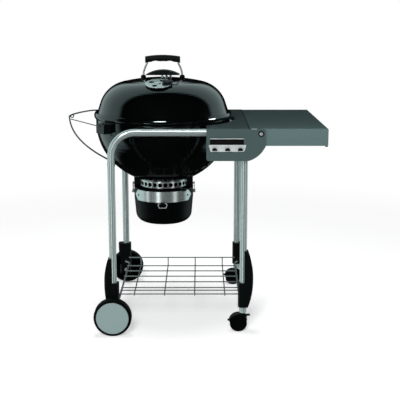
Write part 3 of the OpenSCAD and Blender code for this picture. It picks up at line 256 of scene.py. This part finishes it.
class Finish(Tree):
    """A principled material whose colour, roughness and bump come from procedural textures."""

    def __init__(self, name, rgb, metallic=0.0, spec=0.5):
        self.material = bpy.data.materials.new(name)
        super().__init__(self.material, clear=False)
        self.inputs = self.nodes["Principled BSDF"].inputs
        self.inputs["Metallic"].default_value = metallic
        self.inputs["Specular IOR Level"].default_value = spec
        self.inputs["IOR"].default_value = 1.5
        self.rgb = linear(rgb)
        self.coord = self.add("TexCoord").outputs["Object"]
        self.normal = None

    def stretched(self, scale):
        return self.add("Mapping", {"Scale": scale}, {"Vector": self.coord}).outputs["Vector"]

    def noise(self, scale, detail, coord=None):
        return self.add("TexNoise", {"Scale": scale, "Detail": detail, "Roughness": 0.55},
                        {"Vector": coord or self.coord}).outputs["Fac"]

    def ramp(self, value, low, high, a, b):
        return self.add("MapRange", {"From Min": low, "From Max": high, "To Min": a, "To Max": b},
                        {"Value": value}).outputs["Result"]

    def colour(self, value, dark, light):
        """The base colour, from dark to light times the finish's own."""
        node = self.add("ValToRGB", links={"Fac": value})
        for element, stop, factor in zip(node.color_ramp.elements, COLOUR_STOPS, (dark, light)):
            element.position = stop
            element.color = (*[min(1, c * factor) for c in self.rgb], 1)
        self.links.new(node.outputs["Color"], self.inputs["Base Color"])

    def rough(self, value, a, b):
        self.links.new(self.ramp(value, *NOISE_RANGE, a, b), self.inputs["Roughness"])

    def bump(self, value, strength, distance):
        """Another layer of relief, over the one before. It gives back the finished material."""
        links = {"Height": value}
        if self.normal is not None:
            links["Normal"] = self.normal
        relief = self.add("Bump", {"Strength": strength, "Distance": distance}, links)
        self.normal = relief.outputs["Normal"]
        self.links.new(self.normal, self.inputs["Normal"])
        return self.material


def enamel():
    """Porcelain enamel: deep black, glossy, with the faint waviness of a fired coat."""
    f = Finish("enamel", (3, 4, 4))
    f.inputs["Specular Tint"].default_value = (0.85, 1.0, 1.0, 1)
    f.colour(f.noise(9, 3), 0.8, 1.25)
    f.rough(f.noise(140, 4), 0.045, 0.10)
    f.bump(f.noise(38, 2), 0.06, 0.0012)
    return f.bump(f.noise(900, 2), 0.03, 0.0002)


def paint(name, rgb, rough=(0.38, 0.5), grain=1500, depth=0.0002, spec=0.5, metallic=0.0):
    """Powder coat: fine even grain and a little mottle."""
    f = Finish(name, rgb, metallic, spec)
    f.colour(f.noise(grain * 0.6, 3), 0.93, 1.07)
    f.rough(f.noise(60, 4), *rough)
    return f.bump(f.noise(grain, 3), 0.25, depth)


def plastic(name, rgb, rough=(0.35, 0.5), grain=1100, spec=0.45):
    """Moulded plastic with a spark-eroded grain."""
    f = Finish(name, rgb, spec=spec)
    f.colour(f.noise(grain * 0.5, 3), 0.95, 1.05)
    f.rough(f.noise(240, 3), *rough)
    return f.bump(f.noise(grain, 2), 0.22, 0.00025)


def metal(name, rgb, rough, metallic, lines=300, stretch=(1, 1, 1), mottle=14, depth=0.00001,
          strength=0.02, spread=0.04):
    """Metal with drawn or rolled lines along one direction and a soft mottle."""
    f = Finish(name, rgb, metallic)
    f.colour(f.noise(mottle, 5), 1 - spread, 1 + spread)
    grain = f.noise(lines, 3, f.stretched(stretch))
    f.rough(grain, *rough)
    return f.bump(grain, strength, depth)


def rubber(name, rgb):
    """Matt rubber, a little dusty in places."""
    f = Finish(name, rgb, spec=0.12)
    f.colour(f.noise(30, 5), 0.8, 1.3)
    f.rough(f.noise(90, 4), 0.6, 0.8)
    return f.bump(f.noise(500, 4), 0.3, 0.0004)


PAINTED_SHADOW_FROM, PAINTED_SHADOW_FULL = 0.006, 0.003     # metres before the shelf's right edge where the painted shadow of the gap begins and where it is full


def shelf_paint(edge):
    """The shelf's powder coat, a darker copy of the table's as painted shade, with a painted shadow of
    the gap along its right edge.
    """
    # The colour is a darker copy of the table's slate, as painted shade.
    f = Finish("slate_shelf", (50, 63, 63), spec=0.03)
    grain = f.noise(1300, 3)
    across = f.add("SeparateXYZ", links={0: f.coord}).outputs["X"]
    shade = f.add("Math", operation="MULTIPLY", links={
        0: f.ramp(grain, *NOISE_RANGE, 0.93, 1.07),
        # painted shadow: the colour darkens over the last few millimetres before the right edge
        1: f.ramp(across, edge - PAINTED_SHADOW_FROM, edge - PAINTED_SHADOW_FULL, 1, 0.15)}).outputs[0]
    tone = f.add("VectorMath", {0: f.rgb}, {"Scale": shade}, operation="SCALE").outputs["Vector"]
    f.links.new(tone, f.inputs["Base Color"])
    f.rough(f.noise(60, 4), 0.42, 0.52)
    return f.bump(grain, 0.25, 0.00015)


MATERIALS = {
    "enamel": enamel(),
    "pot": paint("pot_coat", (2, 4, 4), (0.36, 0.48), 900, spec=0.08),
    "tube": metal("tube_silver", (162, 177, 175), (0.18, 0.19), 0.62, 60, (1, 1, 0.1), 12,
                  strength=0.006, spread=0.01),
    "slate": paint("slate_paint", (70, 86, 86), (0.46, 0.56), 1300, 0.00015, 0.02),
    "slate_panel": paint("slate_panel", (62, 77, 77), (0.42, 0.52), 1300, 0.00015, 0.12),
    "slate_shelf": shelf_paint(edge_of("side_shelf", 0, max)),
    "plated": metal("plated_wire", (180, 188, 186), (0.20, 0.26), 0.6),
    "rack": metal("rack_wire", (130, 140, 139), (0.28, 0.34), 0.5),
    "dark_wire": paint("black_wire", (20, 24, 24), (0.25, 0.38)),
    "aluminium": metal("aluminium", (180, 190, 189), (0.23, 0.25), 0.8, 50, (1, 1, 8), 9,
                       strength=0.01, spread=0.02),
    "stainless": metal("stainless", (230, 238, 238), (0.26, 0.32), 0.4, 500, (0.06, 1, 1), 10,
                       depth=0.00002, strength=0.04),
    "bright": metal("bright_fastener", (210, 216, 215), (0.18, 0.26), 0.6),
    "black_steel": paint("black_steel", (6, 9, 9), (0.3, 0.42), spec=0.3),
    "black_plastic": plastic("black_plastic", (6, 9, 9), spec=0.2),
    "shield": plastic("shield_nylon", (12, 16, 16), (0.24, 0.32), 400, spec=0.5),
    "cap": plastic("cap_grey", (122, 140, 140), (0.42, 0.55), 900),
    "tyre": rubber("rubber_tyre", (2, 3, 3)),
    "grip": plastic("grip_nylon", (9, 13, 12), (0.45, 0.6), 700, spec=0.2),
    "charcoal_steel": paint("raw_steel", (70, 74, 72), (0.4, 0.6), 800, metallic=0.8),
}

NODE_FINISH = {
    "enamel": ENAMELLED,
    "pot": ["ash_pot"],
    "black_steel": ["grate_tabs", "catcher_brackets", "bowl_brackets", "sweeper_lever",
                    "holder_brackets", "caster_fork_front", "caster_fork_rear"],
    "charcoal_steel": ["charcoal_grate", "sweeper_blades"],
    "plated": ["cooking_grate", "handle_rod", "pull_ring", "clip_pins", "clip_left", "clip_right",
               "wheel_axles"],
    "bright": ["bracket_bolts", "pivot_bolts", "damper_rivet", "shield_spacer"],
    "stainless": ["hook_rail"],
    "aluminium": ["damper_disc", "vent_ring", "pot_band"],
    "grip": ["handle_grip", "damper_tab"],
    "shield": ["heat_shield"],
    "black_plastic": ["handle_feet", "pull_block", "sleeve_front_left", "sleeve_rear_left",
                      "sleeve_front_right", "sleeve_rear_right", "caster_sockets", "brake_front",
                      "brake_rear", "table_bumpers", "pivot_washers", "tool_recess", "shelf_clips"],
    "tube": TUBES,
    "rack": ["rack", "rack_rails"],
    "tyre": ["tyre_front", "tyre_rear", "caster_wheels_front", "caster_wheels_rear"],
    "cap": ["hub_cap_front", "hub_cap_rear"],
    "slate": ["folding_table"],
    "slate_shelf": ["side_shelf"],
    "slate_panel": ["front_panel", "rear_panel"],
    "dark_wire": ["holder_wire", "holder_stay"],
}

for finish, names in NODE_FINISH.items():
    for name in names:
        slots = nodes[name].data.materials
        slots.clear()
        slots.append(MATERIALS[finish])
missing = set(nodes) - {name for names in NODE_FINISH.values() for name in names}
if missing:
    raise SystemExit(f"no finish for {sorted(missing)}")


def second_finish(name, finish, chosen):
    """Give some faces of a node another material; chosen tells which, from the face's middle."""
    o = nodes[name]
    o.data.materials.append(MATERIALS[finish])
    slot = len(o.data.materials) - 1
    for face in o.data.polygons:
        if chosen(o.matrix_world @ face.center):
            face.material_index = slot


HOOKS_FROM = 0.0018                 # what stands further before the panel than this is a hook
PANEL_FRONT = edge_of("front_panel", 1, min)
# The rail's stainless hooks take the black finish: a painted dark reflection.
second_finish("hook_rail", "black_plastic", lambda p: p.y < PANEL_FRONT - HOOKS_FROM)
second_finish("tool_recess", "bright", lambda p: p.y < PANEL_FRONT)

# ------------------------------------------------------------------ edges
SOFT_EDGES = {                      # width of the bevel in metres
    0.0012: ["side_shelf", "folding_table", "front_panel", "rear_panel", "handle_feet"],
    0.0005: ["damper_tab", "hook_rail", "caster_fork_front", "caster_fork_rear"],
}
for width, names in SOFT_EDGES.items():
    for name in names:
        bevel = nodes[name].modifiers.new("soft_edge", "BEVEL")
        bevel.width = width
        bevel.segments = 2
        bevel.limit_method = "ANGLE"
        bevel.angle_limit = math.radians(35)

scene.view_settings.view_transform = "Standard"
